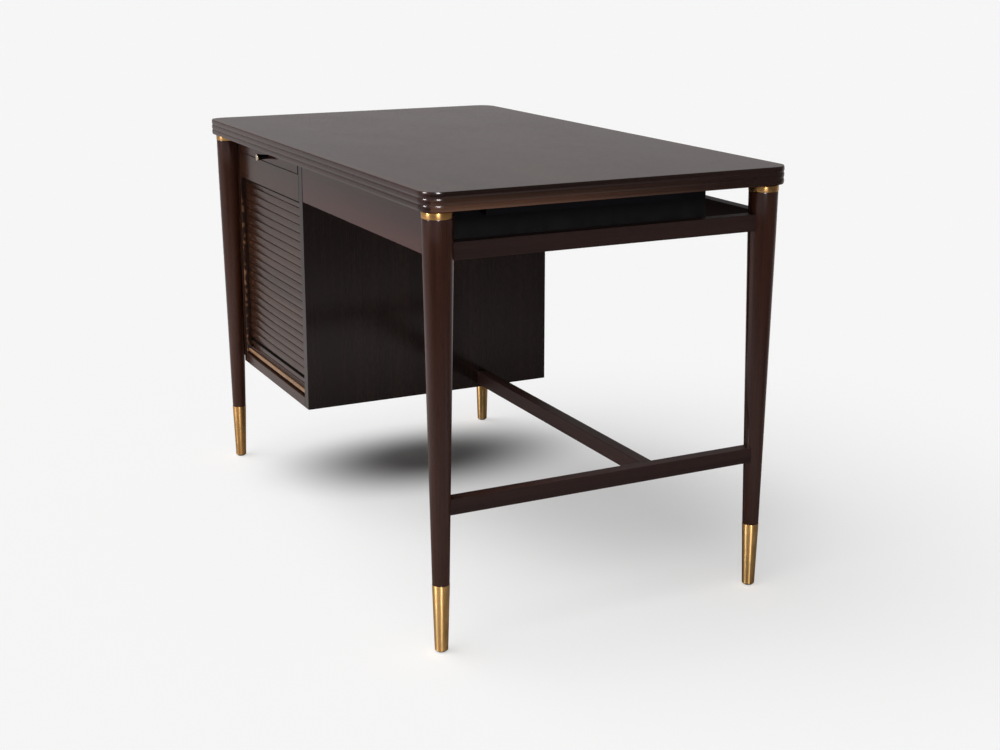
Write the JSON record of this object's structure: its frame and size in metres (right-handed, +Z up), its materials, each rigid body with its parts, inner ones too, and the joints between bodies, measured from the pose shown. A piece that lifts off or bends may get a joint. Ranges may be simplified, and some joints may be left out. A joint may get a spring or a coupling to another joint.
{
  "type": "tambour desk",
  "caption": "Dark wood writing desk on turned brass-tipped legs, with a reeded top, a tambour-front pedestal, a pull-out writing slide and a centre drawer.",
  "frame": {"origin": "on the floor under the middle of the desk top", "axes": "+Z up, +X along the top towards the open legged end, -Y towards the sitter; the pedestal stands at -X"},
  "size_m": [1.14, 0.656, 0.74],
  "materials": {
    "dark_wood": "gloss",
    "inner_wood": "satin",
    "brass": "polished",
    "steel": "satin",
    "black_metal": "gloss",
    "glide": "matte",
    "canvas": "matte"
  },
  "bodies": {
    "desk_frame": {"case_back": "dark_wood", "case_cleat": "inner_wood", "case_side": "dark_wood", "centre_stretcher": "dark_wood", "collar_back_left": "brass", "collar_back_right": "brass", "collar_front_left": "brass", "collar_front_right": "brass", "drawer_runner_left": "inner_wood", "drawer_runner_right": "inner_wood", "end_panel_left": "dark_wood", "end_rail_right": "dark_wood", "end_stretcher": "dark_wood", "ferrule_back_left": "brass", "ferrule_back_right": "brass", "ferrule_front_left": "brass", "ferrule_front_right": "brass", "foot_glides": "glide", "leg_back_left": "dark_wood", "leg_back_right": "dark_wood", "leg_bolts": "steel", "leg_front_left": "dark_wood", "leg_front_right": "dark_wood", "pedestal_back": "dark_wood", "pedestal_battens": "inner_wood", "pedestal_ceiling": "dark_wood", "pedestal_floor": "dark_wood", "pedestal_header": "dark_wood", "pedestal_shelf": "inner_wood", "pedestal_side_left": "dark_wood", "pedestal_side_right": "dark_wood", "rear_rail": "dark_wood", "shelf_pins": "steel", "slide_kickers": "inner_wood", "slide_runner_left": "inner_wood", "slide_runner_right": "inner_wood", "stretcher_screws": "steel", "tambour_canvas": "canvas", "tambour_slats": "dark_wood", "top_edge_back": "dark_wood", "top_edge_front": "dark_wood", "top_edge_left": "dark_wood", "top_edge_right": "dark_wood", "top_panel": "dark_wood"},
    "writing_slide": {"slide_board": "dark_wood", "slide_lip": "dark_wood", "slide_pull": "black_metal", "slide_pull_cap": "brass", "slide_pull_screw": "steel", "slide_stops": "inner_wood"},
    "centre_drawer": {"drawer_front": "dark_wood", "drawer_side_left": "inner_wood", "drawer_side_right": "inner_wood", "drawer_back": "inner_wood", "drawer_bottom": "inner_wood"},
    "tambour_lead": {"tambour_lead_bar": "dark_wood"}
  },
  "joints": [
    {"name": "slide_pull_out", "type": "slide", "parent": "desk_frame", "child": "writing_slide", "axis": [0, -1, 0], "range_m": [0, 0.3]},
    {"name": "drawer_pull_out", "type": "slide", "parent": "desk_frame", "child": "centre_drawer", "axis": [0, -1, 0], "range_m": [0, 0.33]},
    {"name": "tambour_lift", "type": "slide", "parent": "desk_frame", "child": "tambour_lead", "axis": [0, 0, 1], "range_m": [0, 0.345], "deforming": ["tambour_slats", "tambour_canvas"]}
  ]
}
